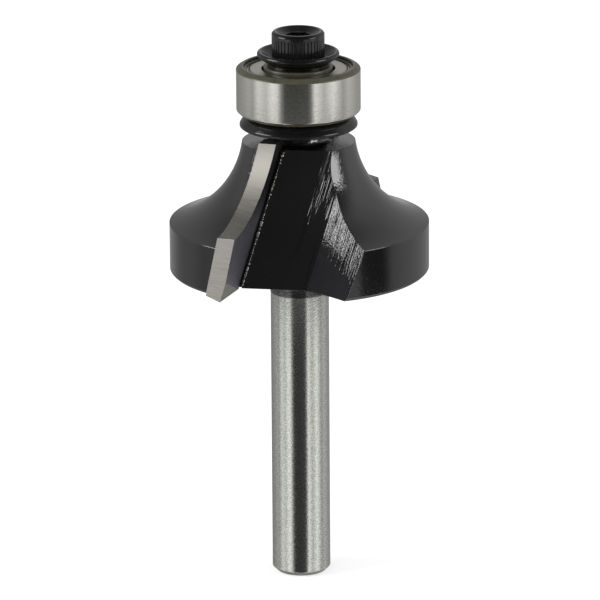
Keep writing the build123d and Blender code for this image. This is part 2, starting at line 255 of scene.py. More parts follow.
def sharpen(piece, angle=28.0):
    """Keeps an edge crisp where it is sharp or where two finishes meet."""
    bm = bmesh.new()
    bm.from_mesh(piece.data)
    bmesh.ops.remove_doubles(bm, verts=bm.verts, dist=1e-7)
    for face in bm.faces:
        face.smooth = True
    for edge in bm.edges:
        faces = edge.link_faces
        meets = len(faces) == 2 and faces[0].material_index != faces[1].material_index
        edge.smooth = not (meets or len(faces) != 2 or edge.calc_face_angle(0) > radians(angle))
    bm.to_mesh(piece.data)
    bm.free()


def place(piece, body, slot, *nodes):
    """Puts a finished piece on its body in the stead of its CAD nodes."""
    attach(piece, body)
    if nodes:
        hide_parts(*nodes)


def stand_in(node, bm, materials, body, slot, sharp=28.0):
    """Finishes a mesh that takes the place of one CAD node."""
    place(finish_mesh(f"{node}_finished", bm, materials, sharp), body, slot, node)


def dress(name, material):
    """Gives a kept CAD node its finish."""
    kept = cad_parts[name]
    for k in range(len(kept.data.materials)):
        kept.data.materials[k] = material
    if not kept.data.materials:
        kept.data.materials.append(material)


# ---- Shader helpers
def colour(code):
    """An sRGB hex code as linear values."""
    channels = [int(code[i:i + 2], 16) / 255 for i in (1, 3, 5)]
    return (*[c / 12.92 if c <= 0.04045 else ((c + 0.055) / 1.055) ** 2.4 for c in channels], 1.0)


def add(tree, kind, inputs=(), out=0, stops=(), **settings):
    """Adds a shader node with its settings, links and a ramp's stops, and gives one output."""
    made = tree.nodes.new("ShaderNode" + kind)
    for name, value in settings.items():
        setattr(made, name, value)
    for key, value in inputs.items() if isinstance(inputs, dict) else enumerate(inputs):
        if isinstance(value, bpy.types.NodeSocket):
            tree.links.new(value, made.inputs[key])
        elif value is not None:
            made.inputs[key].default_value = value
    for k, (position, level) in enumerate(stops):
        stop = made.color_ramp.elements[k] if k < 2 else made.color_ramp.elements.new(position)
        stop.position, stop.color = position, (level, level, level, 1)
    return made.outputs[out] if made.outputs else made


def new_material(name):
    """A material with an empty node tree."""
    material = bpy.data.materials.new(name)
    material.use_nodes = True
    material.node_tree.nodes.clear()
    return material, material.node_tree


def finish(make, *details, name=""):
    """The finish that a maker draws, made once and then shared by every piece that has it.

    The maker gives the inputs of its shader.
    """
    name = name or make.__name__
    if name not in bpy.data.materials:
        scene = bpy.context.scene
        _, tree = new_material(name)
        point = add(tree, "TexCoord", out="Object")
        inputs = make(tree, point, scene.routerbit_sizes, scene.routerbit_colours, *details)
        add(tree, "OutputMaterial", [add(tree, "BsdfPrincipled", inputs)])
    return bpy.data.materials[name]


def size(mm):
    """The noise scale that makes lumps of the given size."""
    return 1 / (mm * MM)


def turning_lines(tree, point, mm):
    """Fine rings left round the spin axis by a lathe or a wheel, drawn coarse enough to show."""
    x, y, z = (add(tree, "SeparateXYZ", [point], out=k) for k in range(3))
    flat = add(tree, "CombineXYZ", [x, y])
    radius = add(tree, "VectorMath", [flat], out="Value", operation="LENGTH")
    across = add(tree, "CombineXYZ", [radius, z])
    return add(tree, "TexNoise", {"Vector": across, "Scale": size(mm), "Detail": 2.0})


def edge_wear(tree, width, share):
    """How far an outer edge is rubbed bare at a point, and the normal of that edge rounded."""
    rounded = add(tree, "Bevel", {"Radius": width}, samples=6)
    true = add(tree, "NewGeometry", out="Normal")
    same = add(tree, "VectorMath", [rounded, true], out="Value", operation="DOT_PRODUCT")
    away = add(tree, "Math", [1.0, same], operation="SUBTRACT")
    near = add(tree, "MapRange", [away, 0.0015, 0.05, 0.0, 1.0])
    return add(tree, "Math", [near, share], operation="MULTIPLY"), rounded


# ---- Materials
def nonstick_coating(tree, point, sizes, colours):
    """Baked, graphite-filled non-stick coating sprayed on turned steel.

    It gives the eye a near-black gloss with the orange-peel grain of a sprayed film, which
    breaks up only where a reflection ends. The grain is drawn at 0.16 mm, coarser than the
    real one, so that it shows, and it is stronger from the flare up, where the spray was drier.
    """
    rubbed, rounded = edge_wear(tree, sizes.edge_softness, COAT_WEAR)
    cloudy = add(tree, "TexNoise", {"Vector": point, "Scale": size(3.0), "Detail": 3.0})
    base = add(tree, "Mix", {0: cloudy, 6: colours.coating, 7: colours.coating_light}, **RGBA)
    base = add(tree, "Mix", {0: rubbed, 6: base, 7: colours.edge_wear}, **RGBA)
    grain = add(tree, "TexNoise", {"Vector": point, "Scale": size(0.16), "Detail": 0.0})
    z = add(tree, "SeparateXYZ", [point], out=2)
    low, high = (level * MM for level in GRAIN_RISE)
    strength = add(tree, "MapRange", [z, low, high, 0.4, 1.0])
    normal = add(tree, "Bump", {"Height": grain, "Distance": 0.018 * MM,
                                "Strength": strength, "Normal": rounded})
    rough = add(tree, "MapRange", [cloudy, 0.3, 0.7, 0.07, 0.1])
    return {"Base Color": base, "Roughness": rough, "IOR": COAT_IOR, "Normal": normal}


def milled_coating(tree, point, sizes, colours, depth, gritty, fade):
    """The same coating over milled steel, whose lines run along the gullet under the film.

    It gives the eye fine bright and dark lines that sparkle, a few of them deep, 0.16 to
    0.34 mm apart. The film is thicker at the lower end and hides them there.
    """
    x, y, z = (add(tree, "SeparateXYZ", [point], out=k) for k in range(3))
    # Each gullet is slid back along its flute to one level, so a line keeps its place in it.
    side = add(tree, "Math", [add(tree, "Math", [y], operation="SIGN"), -1.0],
               operation="MULTIPLY")
    along_x = add(tree, "Math", [z, -FLUTE.x], operation="MULTIPLY")
    along_y = add(tree, "Math", [z, -FLUTE.y], operation="MULTIPLY")
    east = add(tree, "Math", [x, side, along_x], operation="MULTIPLY_ADD")
    north = add(tree, "Math", [y, side, along_y], operation="MULTIPLY_ADD")
    tilt = radians(WALL_TILT)
    north = add(tree, "Math", [north, -sin(tilt)], operation="MULTIPLY")
    across = add(tree, "Math", [east, cos(tilt), north], operation="MULTIPLY_ADD")
    drift = add(tree, "Math", [z, 0.03], operation="MULTIPLY")
    lines = add(tree, "CombineXYZ", [across, 0.0, drift])
    coarse = add(tree, "TexNoise", {"Vector": lines, "Scale": size(0.34), "Detail": 0.0})
    fine = add(tree, "TexNoise", {"Vector": lines, "Scale": size(0.16), "Detail": 2.0})
    grit = add(tree, "TexNoise", {"Vector": point, "Scale": size(0.2), "Detail": 1.0})
    grooves = add(tree, "MapRange", [coarse, 0.36, 0.46, 0.0, 1.0],
                  interpolation_type="SMOOTHSTEP")
    height = add(tree, "Math", [fine, 0.7, grooves], operation="MULTIPLY_ADD")
    height = add(tree, "Math", [grit, gritty, height], operation="MULTIPLY_ADD")
    level = add(tree, "Math", [across, 0.45, z], operation="MULTIPLY_ADD")
    shown = add(tree, "MapRange", [level, fade[0] * MM, fade[1] * MM, 0.02, 1.0])
    height = add(tree, "Math", [height, shown], operation="MULTIPLY")
    rounded = add(tree, "Bevel", {"Radius": sizes.edge_softness}, samples=6)
    base = add(tree, "Mix", {0: grooves, 6: colours.coating, 7: colours.coating_light}, **RGBA)
    normal = add(tree, "Bump", {"Height": height, "Distance": depth * MM, "Strength": 1.0,
                                "Normal": rounded})
    rough = add(tree, "MapRange", [fine, 0.3, 0.7, 0.06, 0.12])
    return {"Base Color": base, "Roughness": rough, "IOR": COAT_IOR, "Normal": normal}


def ground_shank_steel(tree, point, sizes, colours):
    """Tool steel, ground between centres.

    It gives the eye bright bands with a crisp edge, crossed by faint rings and by a fine grey
    speckle. Both are drawn coarser than the real ones, at 0.3 and 0.15 mm, so that they show.
    """
    rings = turning_lines(tree, point, 0.3)
    speckle = add(tree, "TexNoise", {"Vector": point, "Scale": size(0.15), "Detail": 2.0,
                                     "Roughness": 0.7})
    tone = add(tree, "MapRange", [speckle, 0.35, 0.65, 0.0, 1.0])
    base = add(tree, "Mix", {0: tone, 6: colours.shank_dark, 7: colours.shank}, **RGBA)
    rough = add(tree, "MapRange", [speckle, 0.3, 0.7, 0.1, 0.17])
    normal = add(tree, "Bump", {"Height": rings, "Distance": 0.004 * MM, "Strength": 0.5})
    normal = add(tree, "Bump", {"Height": speckle, "Distance": 0.006 * MM, "Strength": 1.0,
                                "Normal": normal})
    return {"Base Color": base, "Metallic": 1.0, "Roughness": rough, "Normal": normal}


def lapped_bearing_steel(tree, point, sizes, colours):
    """Hardened bearing steel, fine ground and lapped.

    It gives the eye crisp reflections crossed by the faintest rings, drawn 0.12 mm apart.
    """
    rings = turning_lines(tree, point, 0.12)
    speckle = add(tree, "TexNoise", {"Vector": point, "Scale": size(0.25), "Detail": 3.0})
    tone = add(tree, "MapRange", [rings, 0.3, 0.7, 0.0, 1.0])
    base = add(tree, "Mix", {0: tone, 6: colours.race_dark, 7: colours.race}, **RGBA)
    rough = add(tree, "MapRange", [speckle, 0.3, 0.7, 0.1, 0.14])
    normal = add(tree, "Bump", {"Height": rings, "Distance": 0.001 * MM, "Strength": 0.3})
    normal = add(tree, "Bump", {"Height": speckle, "Distance": 0.004 * MM, "Strength": 0.5,
                                "Normal": normal})
    return {"Base Color": base, "Metallic": 1.0, "Roughness": rough, "Normal": normal}


def heat_treated_film(tree, point, sizes, colours):
    """The bearing rings where the wheel does not reach: the film of their heat treatment.

    It gives the eye a cloudy olive band with an oily gloss.
    """
    rings = turning_lines(tree, point, 0.15)
    cloudy = add(tree, "TexNoise", {"Vector": point, "Scale": size(0.9), "Detail": 3.0})
    rubbed, rounded = edge_wear(tree, sizes.edge_softness, FILM_WEAR)
    base = add(tree, "Mix", {0: cloudy, 6: colours.film_dark, 7: colours.film}, **RGBA)
    base = add(tree, "Mix", {0: rubbed, 6: base, 7: colours.race_dark}, **RGBA)
    rough = add(tree, "MapRange", [cloudy, 0.3, 0.7, 0.26, 0.36])
    normal = add(tree, "Bump", {"Height": rings, "Distance": 0.004 * MM, "Strength": 0.5,
                                "Normal": rounded})
    return {"Base Color": base, "Roughness": rough, "IOR": OXIDE_IOR, "Normal": normal}


def pressed_sheet_steel(tree, point, sizes, colours):
    """Shield pressed from bright sheet steel.

    It gives the eye a soft sheen over the faint texture of the rolls, drawn at 0.2 mm.
    """
    texture = add(tree, "TexNoise", {"Vector": point, "Scale": size(0.2), "Detail": 3.0})
    tone = add(tree, "MapRange", [texture, 0.3, 0.7, 0.0, 1.0])
    base = add(tree, "Mix", {0: tone, 6: colours.shield_dark, 7: colours.shield}, **RGBA)
    normal = add(tree, "Bump", {"Height": texture, "Distance": 0.003 * MM, "Strength": 0.5})
    return {"Base Color": base, "Metallic": 1.0, "Roughness": 0.3, "Normal": normal}


def drawn_spring_wire(tree, point, sizes, colours):
    """Drawn spring wire, oiled: a satin grey line with streaks, drawn at 0.1 mm."""
    streaks = add(tree, "TexNoise", {"Vector": point, "Scale": size(0.1)})
    base = add(tree, "Mix", {0: streaks, 6: colours.wire_dark, 7: colours.wire}, **RGBA)
    return {"Base Color": base, "Metallic": 1.0, "Roughness": 0.3}


def black_oxide(tree, point, sizes, colours):
    """Black oxide, a thin layer of magnetite, on turned steel.

    It gives the eye a black with an oily gloss, patchy where the oil has dried, over turning
    rings and grit drawn at 0.12 mm. On the bearing's bore wall and wire groove above the upper
    shield, the same black is painted shade.
    """
    rings = turning_lines(tree, point, 0.12)
    patchy = add(tree, "TexNoise", {"Vector": point, "Scale": size(0.8), "Detail": 4.0,
                                    "Roughness": 0.6})
    grit = add(tree, "TexNoise", {"Vector": point, "Scale": size(0.12), "Detail": 2.0})
    rubbed, rounded = edge_wear(tree, sizes.edge_softness, OXIDE_WEAR)
    base = add(tree, "Mix", {0: patchy, 6: colours.oxide, 7: colours.oxide_light}, **RGBA)
    base = add(tree, "Mix", {0: rubbed, 6: base, 7: colours.edge_wear}, **RGBA)
    rough = add(tree, "MapRange", [patchy, 0.3, 0.7, 0.1, 0.2])
    normal = add(tree, "Bump", {"Height": rings, "Distance": 0.004 * MM, "Strength": 0.4,
                                "Normal": rounded})
    normal = add(tree, "Bump", {"Height": grit, "Distance": 0.006 * MM, "Strength": 0.8,
                                "Normal": normal})
    return {"Base Color": base, "Roughness": rough, "IOR": OXIDE_IOR, "Normal": normal}


def ground_carbide(tree, point, sizes, colours):
    """Tungsten carbide ground with a diamond wheel.

    It gives the eye a soft grey with level grinding lines, drawn 0.16 mm apart so that they
    show, and a few warm stains.
    """
    stretched = add(tree, "VectorMath", [point, (0.06, 0.06, 1.0)], operation="MULTIPLY")
    lines = add(tree, "TexNoise", {"Vector": stretched, "Scale": size(0.16), "Detail": 4.0,
                                   "Roughness": 0.65})
    patchy = add(tree, "TexNoise", {"Vector": point, "Scale": size(1.2), "Detail": 3.0})
    rubbed, rounded = edge_wear(tree, sizes.edge_softness * 0.7, CARBIDE_WEAR)
    tone = add(tree, "MapRange", [lines, 0.3, 0.7, 0.0, 1.0])
    base = add(tree, "Mix", {0: tone, 6: colours.carbide_dark, 7: colours.carbide}, **RGBA)
    stained = add(tree, "Math", [patchy, 0.25], operation="MULTIPLY")
    base = add(tree, "Mix", {0: stained, 6: base, 7: colours.carbide_warm}, **RGBA)
    base = add(tree, "Mix", {0: rubbed, 6: base, 7: colours.carbide_edge}, **RGBA)
    rough = add(tree, "MapRange", [lines, 0.3, 0.7, 0.52, 0.62])
    normal = add(tree, "Bump", {"Height": lines, "Distance": 0.006 * MM, "Strength": 0.5,
                                "Normal": rounded})
    return {"Base Color": base, "Metallic": 1.0, "Roughness": rough, "Normal": normal}


def lapped_carbide(tree, point, sizes, colours):
    """The rake face of the carbide, lapped smooth.

    It gives the eye a dark grey with a violet cast and soft clouds, with painted shade that
    darkens it towards the coating's black near the neck.
    """
    cloudy = add(tree, "TexNoise", {"Vector": point, "Scale": size(0.9), "Detail": 4.0})
    grit = add(tree, "TexNoise", {"Vector": point, "Scale": size(0.1)})
    rubbed, rounded = edge_wear(tree, sizes.edge_softness * 0.5, RAKE_WEAR)
    base = add(tree, "Mix", {0: cloudy, 6: colours.rake_dark, 7: colours.rake}, **RGBA)
    base = add(tree, "Mix", {0: rubbed, 6: base, 7: colours.carbide_edge}, **RGBA)
    # Painted shade: from 39.4 mm up, the face is blended towards the coating's black, darkest by
    # the neck.
    z = add(tree, "SeparateXYZ", [point], out=2)
    low, high = (level * MM for level in PAINTED_SHADE_RISE)
    painted_shade_share = add(tree, "MapRange", [z, low, high, 0.0, 0.75])
    base = add(tree, "Mix", {0: painted_shade_share, 6: base, 7: colours.coating}, **RGBA)
    normal = add(tree, "Bump", {"Height": grit, "Distance": 0.003 * MM, "Strength": 0.3,
                                "Normal": rounded})
    return {"Base Color": base, "Metallic": 1.0, "Roughness": 0.6, "Normal": normal}


def silver_braze(tree, point, sizes, colours):
    """Silver brazing alloy: pale drops with a brassy tone, frozen as they flowed."""
    tone = add(tree, "TexNoise", {"Vector": point, "Scale": size(0.3), "Detail": 3.0})
    wrinkles = add(tree, "TexNoise", {"Vector": point, "Scale": size(0.08)})
    tone = add(tree, "MapRange", [tone, 0.3, 0.7, 0.0, 1.0])
    base = add(tree, "Mix", {0: tone, 6: colours.braze_dark, 7: colours.braze}, **RGBA)
    normal = add(tree, "Bump", {"Height": wrinkles, "Distance": 0.008 * MM, "Strength": 0.5})
    return {"Base Color": base, "Metallic": 1.0, "Roughness": 0.3, "Normal": normal}


# ---- Shapes
def on_rake(y, z):
    """The point of the front rake face at a given y and z, in mm."""
    return Vector((-RAKE_OFFSET + HOOK * y + SHEAR * (z - TOP_FACE), y, z))


def seat_y(z, depth=0.0):
    """The y of the gullet floor at the rake face at height z, or that far below the floor."""
    return -FLOOR_DISTANCE + depth + FLOOR_SLOPE * (z - TOP_FACE)


def edge_point(z):
    """The point of the front cutting edge at height z."""
    reach = CUTTING_R
    if z > TIP_ARC:
        reach = CUTTING_R - sqrt(ROUND_OVER ** 2 - (z - TIP_HIGH) ** 2)
    level = -RAKE_OFFSET + SHEAR * (z - TOP_FACE)
    a, b = 1 + HOOK ** 2, level * HOOK
    return on_rake((-b - sqrt(b * b - a * (level ** 2 - reach ** 2))) / a, z)


def arc_points(start, end, radius, steps):
    """Points of a hollow arc from start to end, both as (radius, height)."""
    start, end = Vector(start), Vector(end)
    half = (end - start) / 2
    outward = Vector((half.y, -half.x)).normalized()
    if outward.x < 0:
        outward = -outward
    centre = start + half + outward * sqrt(radius ** 2 - half.length_squared)
    first, last = start - centre, end - centre
    low, high = atan2(first.y, first.x) % (2 * pi), atan2(last.y, last.x) % (2 * pi)
    angles = [low + (high - low) * k / steps for k in range(steps + 1)]
    return [(centre.x + radius * cos(angle), centre.y + radius * sin(angle)) for angle in angles]


def gullet_bar():
    """The bar of space that the front gullet takes out of the head."""
    def along(start, length, tilt, rise=0.0):
        turn = radians(tilt)
        return start + Vector((length * cos(turn) + rise * sin(turn),
                               rise * cos(turn) - length * sin(turn), 0))
    corner = on_rake(-FLOOR_DISTANCE, TOP_FACE)
    foot = along(corner, FLOOR_WIDTH, FLOOR_TILT)
    wall = along(foot, FOOT_WIDTH, FOOT_TILT)
    steps = 24
    half = WALL_CHORD / 2
    bend = half ** 2 / (2 * WALL_HOLLOW) + WALL_HOLLOW / 2
    spread = asin(half / bend)
    curve = []
    for k in range(steps + 1):
        angle = spread * (2 * k / steps - 1)
        rise = bend * (cos(angle) - cos(spread))
        curve.append(along(wall, half + bend * sin(angle), WALL_TILT, rise))
    outside = on_rake(-2 * CUTTING_R, TOP_FACE)
    points = [corner, foot] + curve + [Vector((curve[-1].x, outside.y, TOP_FACE)), outside]
    past = 1.0
    below = TOP_FACE - SHANK_TOP + past
    finishes = [1, 2] + [3] * steps + [0, 0, 0]
    return prism([p - FLUTE * below for p in points], FLUTE * (below + past), finishes)


def pocket_bar():
    """The slot that the front tip is brazed into."""
    low, high = TIP_LOW - 1.0, TOP_FACE + 1.0
    front = [on_rake(seat_y(low, SEAT_DEPTH), low), on_rake(-2 * CUTTING_R, low),
             on_rake(-2 * CUTTING_R, high), on_rake(seat_y(high, SEAT_DEPTH), high)]
    return prism([p + RAKE_NORMAL * BRAZE_GAP for p in front],
                 -RAKE_NORMAL * (BRAZE_GAP + TIP_THICKNESS + BACK_GAP))


def tip_mesh(straight=6, bend=48):
    """The front carbide tip: its ground flank, the bevel at its lower end, its sprayed back."""
    edge = edge_point(TIP_ARC)
    turn = asin(-edge.x / CUTTING_R) + radians(RELIEF)
    away = Vector((-cos(turn), sin(turn), -tan(radians(END_RELIEF)))).normalized()
    away *= TIP_THICKNESS / -away.dot(RAKE_NORMAL)
    drop = away.z + TIP_THICKNESS * RAKE_NORMAL.z
    seat = on_rake(seat_y(TIP_LOW, SEAT_DEPTH), TIP_LOW)
    bevel_top = TIP_LOW + BEVEL_HEIGHT
    upper, lowest = edge_point(bevel_top), edge_point(TIP_LOW)
    back_low = edge_point(TIP_LOW - drop) + away
    facet = (upper - seat).cross(lowest - RAKE_NORMAL * BEVEL_DEPTH - seat)
    share = (seat - lowest).dot(facet) / (back_low - lowest).dot(facet)
    nose = lowest.lerp(back_low, share)
    heights = [bevel_top + (TIP_ARC - bevel_top) * k / straight for k in range(straight)]
    heights += [TIP_HIGH - ROUND_OVER * cos(pi / 2 * k / bend) for k in range(bend + 1)]
    bm = bmesh.new()
    front = [bm.verts.new(edge_point(z)) for z in heights]
    back = [bm.verts.new(edge_point(z) + away) for z in heights]
    foot, foot_back = bm.verts.new(seat), bm.verts.new(seat - RAKE_NORMAL * TIP_THICKNESS)
    head = bm.verts.new(on_rake(seat_y(TIP_HIGH, SEAT_DEPTH), TIP_HIGH))
    level = TIP_HIGH + drop
    head_back = bm.verts.new(on_rake(seat_y(level, SEAT_DEPTH), level)
                             - RAKE_NORMAL * TIP_THICKNESS)
    nose, low_back = bm.verts.new(nose), bm.verts.new(back_low)
    for i in range(len(heights) - 1):
        bm.faces.new((front[i], front[i + 1], back[i + 1], back[i]))
    bm.faces.new((nose, front[0], back[0], low_back))
    bm.faces.new([foot] + front + [head]).material_index = 1
    bm.faces.new((foot, nose, front[0]))
    bm.faces.new([foot_back, low_back] + back + [head_back]).material_index = 2
    bm.faces.new((foot, foot_back, low_back, nose))
    bm.faces.new((head, front[-1], back[-1], head_back)).material_index = 1
    bm.faces.new((foot, head, head_back, foot_back))
    return bm


def drops(points, radius, seed=0.4, sides=8):
    """A string of small drops of solder along a line, uneven in pitch and girth.

    The first ones, where the solder was fed in, are larger.
    """
    bm = bmesh.new()
    rows = []
    reach = 0.0
    for k, point in enumerate(points):
        before = points[max(k - 1, 0)]
        ahead = (points[min(k + 1, len(points) - 1)] - before).normalized()
        reach += (point - before).length
        side = ahead.cross(Vector((0, 0, 1))).normalized()
        up = side.cross(ahead)
        uneven = 0.22 * sin(reach * 1.9) + 0.12 * sin(reach * 5.3 + seed)
        place_in_run = (reach + uneven) / DROP_PITCH
        number, part = int(place_in_run), place_in_run % 1
        swell = 0.85 + 0.35 * sin(number * 2.4 + seed) + 0.35 * sin(number * 5.7 + 2 * seed)
        if k < len(points) * FIRST_DROPS:
            swell *= FIRST_SWELL
        girth = radius * max(0.12, swell * sqrt(max(0.0, 1 - (3.0 * part - 1.5) ** 2)))
        turns = [2 * pi * j / sides for j in range(sides)]
        rows.append([bm.verts.new(point + (side * cos(turn) + up * sin(turn)) * girth)
                     for turn in turns])
    for low, high in zip(rows, rows[1:]):
        for j in range(sides):
            bm.faces.new((low[j], low[(j + 1) % sides], high[(j + 1) % sides], high[j]))
    bm.faces.new(rows[0])
    bm.faces.new(rows[-1])
    return bm


def braze_run():
    """The bright string of drops along the front gullet's floor, beside the tip."""
    top, low = TOP_FACE - 0.1, SHANK_TOP + 0.1
    heights = [top - (top - low) * k / DROP_STEPS for k in range(DROP_STEPS + 1)]
    just_past = RAKE_NORMAL * (BRAZE_GAP + 0.01)
    return drops([on_rake(seat_y(z), z) + just_past for z in heights], DROP_R)


def hollow(middle, centre_r, edge_r, steps=16):
    """Ball groove from its lower to its upper edge, about the bearing's middle height."""
    half = asin(sqrt(GROOVE_R ** 2 - (edge_r - centre_r) ** 2) / GROOVE_R)
    way = 1 if edge_r > centre_r else -1
    angles = [half * (2 * k / steps - 1) for k in range(steps + 1)]
    return [(centre_r + way * GROOVE_R * cos(angle), middle + GROOVE_R * sin(angle), 0, 0)
            for angle in angles]


# ---- What a user may change
class RouterBitSizes(bpy.types.PropertyGroup):
    edge_softness: FloatProperty(
        name="Edge softness", description="Width over which an edge looks rounded and worn",
        default=0.09 * MM, min=0.01 * MM, max=0.5 * MM, precision=5, unit="LENGTH",
        subtype="DISTANCE")
    knurl_count: IntProperty(
        name="Knurl lines", description="Number of straight lines round the screw's head",
        default=42, min=12, max=90)
    knurl_depth: FloatProperty(
        name="Knurl depth", description="Depth of the screw's knurl",
        default=0.14 * MM, min=0.0, max=0.3 * MM, precision=5, unit="LENGTH",
        subtype="DISTANCE")


COLOURS = {
    "coating": ("#0e0e0f", "Darker tone of the coated head"),
    "coating_light": ("#161617", "Lighter tone of the coated head"),
    "edge_wear": ("#8b8985", "Steel showing along rubbed edges"),
    "shank": ("#dfe0da", "Ground shank"),
    "shank_dark": ("#a7a9a3", "Speckle of the ground shank"),
    "race": ("#dad9d2", "Bearing rings"),
    "race_dark": ("#d0cfc7", "Grinding rings of the bearing"),
    "shield": ("#c6c3b6", "Shields"),
    "shield_dark": ("#b3b0a3", "Rolled texture of the shields"),
    "wire": ("#8f8d86", "Snap rings"),
    "wire_dark": ("#4c4b48", "Darker streaks of the snap rings"),
    "oxide": ("#0b0b0c", "Black oxide"),
    "oxide_light": ("#161616", "Thin places of the black oxide"),
    "film": ("#5b5a49", "Unground edges of the bearing"),
    "film_dark": ("#434235", "Darker clouds of the unground edges"),
    "carbide": ("#b3b2ad", "Ground carbide"),
    "carbide_dark": ("#979591", "Grinding lines of the carbide"),
    "carbide_warm": ("#b0a58e", "Warm stain of the carbide"),
    "carbide_edge": ("#e6e4dc", "Bright edges of the carbide"),
    "rake": ("#93919a", "Lapped rake face"),
    "rake_dark": ("#79777e", "Darker clouds of the rake face"),
    "braze": ("#fbf9f2", "Brazing alloy"),
    "braze_dark": ("#dcd3bf", "Brassy tone of the brazing alloy"),
}


class RouterBitColours(bpy.types.PropertyGroup):
    __annotations__ = {
        key: FloatVectorProperty(name=key.replace("_", " ").capitalize(), description=words,
                                 subtype="COLOR", size=4, min=0.0, max=1.0,
                                 default=colour(code))
        for key, (code, words) in COLOURS.items()}


# ---- Stage
def on_stage(name, bm, material, height=0.0):
    """Adds a part of the stage, which is no part of the router bit."""
    mesh = bpy.data.meshes.new(name)
    bm.to_mesh(mesh)
    bm.free()
    mesh.materials.append(material)
    piece = bpy.data.objects.new(name, mesh)
    piece.location.z = height
    bpy.context.scene.collection.objects.link(piece)
    return piece


def mirrored_card(name, bm, material, tree, level, height=0.0):
    """Adds a glowing card that shows to mirrored rays alone."""
    material.cycles.emission_sampling = "NONE"
    add(tree, "OutputMaterial", [add(tree, "Emission", [level, 1.0])])
    piece = on_stage(name, bm, material, height)
    piece.visible_camera = piece.visible_diffuse = piece.visible_shadow = False
    piece.visible_transmission = piece.visible_volume_scatter = False


def seen_ray(tree):
    """1 for a ray from the eye, a mirror or glass, and 0 for one that lights matt things."""
    camera, glossy, through = (add(tree, "LightPath", out=f"Is {ray} Ray")
                               for ray in ("Camera", "Glossy", "Transmission"))
    either = add(tree, "Math", [camera, glossy], operation="MAXIMUM")
    return add(tree, "Math", [either, through], operation="MAXIMUM")


def around(tree, x, y, levels):
    """The level of a list of cards at the bearing of a point, as a grey."""
    front = add(tree, "Math", [y, -1.0], operation="MULTIPLY")
    angle = add(tree, "Math", [x, front], operation="ARCTAN2")
    share = add(tree, "Math", [angle, 1 / (2 * pi), 0.5], operation="MULTIPLY_ADD")
    return add(tree, "ValToRGB", [share],
               stops=[(0.5 + degrees / 360, level) for degrees, level in levels])


def make_camera(scene):
    """Looks slightly down on the bit from the front, through a long lens."""
    camera = bpy.data.objects.new("camera", bpy.data.cameras.new("camera"))
    scene.collection.objects.link(camera)
    camera.data.lens, camera.data.sensor_width = CAMERA_LENS, CAMERA_SENSOR
    camera.data.clip_start, camera.data.clip_end = CAMERA_CLIP
    camera.matrix_world = (Matrix.Translation(CAMERA_PLACE)
                           @ Matrix.Rotation(radians(CAMERA_PITCH), 4, "X")
                           @ Matrix.Rotation(radians(CAMERA_ROLL), 4, "Z"))
    scene.camera = camera


def make_floor():
    """A pale matt table top, white to the eye and in mirrored rays."""
    material, tree = new_material("white_table")
    matt = add(tree, "BsdfPrincipled", {"Base Color": colour("#fafafa"), "Roughness": 0.9,
                                        "Specular IOR Level": 0.0})
    glow = add(tree, "Emission", [(1, 1, 1, 1), FLOOR_GLOW])
    lit = add(tree, "AddShader", [matt, glow])
    add(tree, "OutputMaterial", [add(tree, "MixShader", [seen_ray(tree), matt, lit])])
    bm = bmesh.new()
    bmesh.ops.create_circle(bm, cap_ends=True, segments=96, radius=FLOOR_R)
    on_stage("floor", bm, material).visible_glossy = False


def make_cards():
    """Pale and dark cards round the stage, which the bright steel and the black gloss mirror."""
    material, tree = new_material("studio_cards")
    point = add(tree, "TexCoord", out="Object")
    x, y, z = (add(tree, "SeparateXYZ", [point], out=k) for k in range(3))
    rise = add(tree, "Math", [z, 1 / CARD_DISTANCE], operation="MULTIPLY")
    fall = add(tree, "ValToRGB", [rise], stops=HIGH_FALL)
    high = add(tree, "Mix", {0: 1.0, 6: around(tree, x, y, HIGH_CARDS), 7: fall},
               **RGBA, blend_type="MULTIPLY")
    above = add(tree, "MapRange", [rise, *CARD_BLEND, 0.0, 1.0])
    level = add(tree, "Mix", {0: above, 6: around(tree, x, y, LOW_CARDS), 7: high}, **RGBA)
    bm = bmesh.new()
    bmesh.ops.create_uvsphere(bm, u_segments=96, v_segments=48, radius=CARD_DISTANCE)
    mirrored_card("studio_cards", bm, material, tree, level, CARD_MIDDLE)


def make_table_cards():
    """A ring of cards that lies on the table, which the rim of the head mirrors."""
    material, tree = new_material("table_cards")
    point = add(tree, "TexCoord", out="Object")
    x, y = (add(tree, "SeparateXYZ", [point], out=k) for k in range(2))
    level = around(tree, x, y, TABLE_CARDS)
    bm = bmesh.new()
    turns = [radians(turn) for turn in range(0, 360, TABLE_STEP)]
    rows = [[bm.verts.new((reach * sin(turn), -reach * cos(turn), TABLE_HEIGHT))
             for reach in TABLE_REACH] for turn in turns]
    for here, after in zip(rows, rows[1:] + rows[:1]):
        bm.faces.new((here[0], here[1], after[1], after[0]))
    mirrored_card("table_cards", bm, material, tree, level)


def make_world(scene):
    """White for the eye and in mirrored rays, and an even, softer light on matt surfaces."""
    scene.world = bpy.data.worlds.new("studio")
    scene.world.use_nodes = True
    tree = scene.world.node_tree
    tree.nodes.clear()
    soft = (WORLD_LEVEL, WORLD_LEVEL, WORLD_LEVEL, 1)
    shade = add(tree, "Mix", {0: seen_ray(tree), 6: soft, 7: (1, 1, 1, 1)}, **RGBA)
    add(tree, "OutputWorld", [add(tree, "Background", [shade, 1.0])])


def make_lamps():
    """Two soft boxes: name, degrees from the front, height, watts, width and height."""
    for name, azimuth, height, watts, reach in SOFT_BOXES:
        lamp = bpy.data.lights.new(name, "AREA")
        lamp.shape, lamp.energy = "RECTANGLE", watts
        lamp.size, lamp.size_y = reach
        holder = bpy.data.objects.new(name, lamp)
        bpy.context.scene.collection.objects.link(holder)
        turn = radians(azimuth)
        spot = Vector((LAMP_DISTANCE * sin(turn), -LAMP_DISTANCE * cos(turn), height))
        aim = Vector((0, 0, LAMP_AIM)) - spot
        holder.location = spot
        holder.rotation_euler = aim.to_track_quat("-Z", "Y").to_euler()


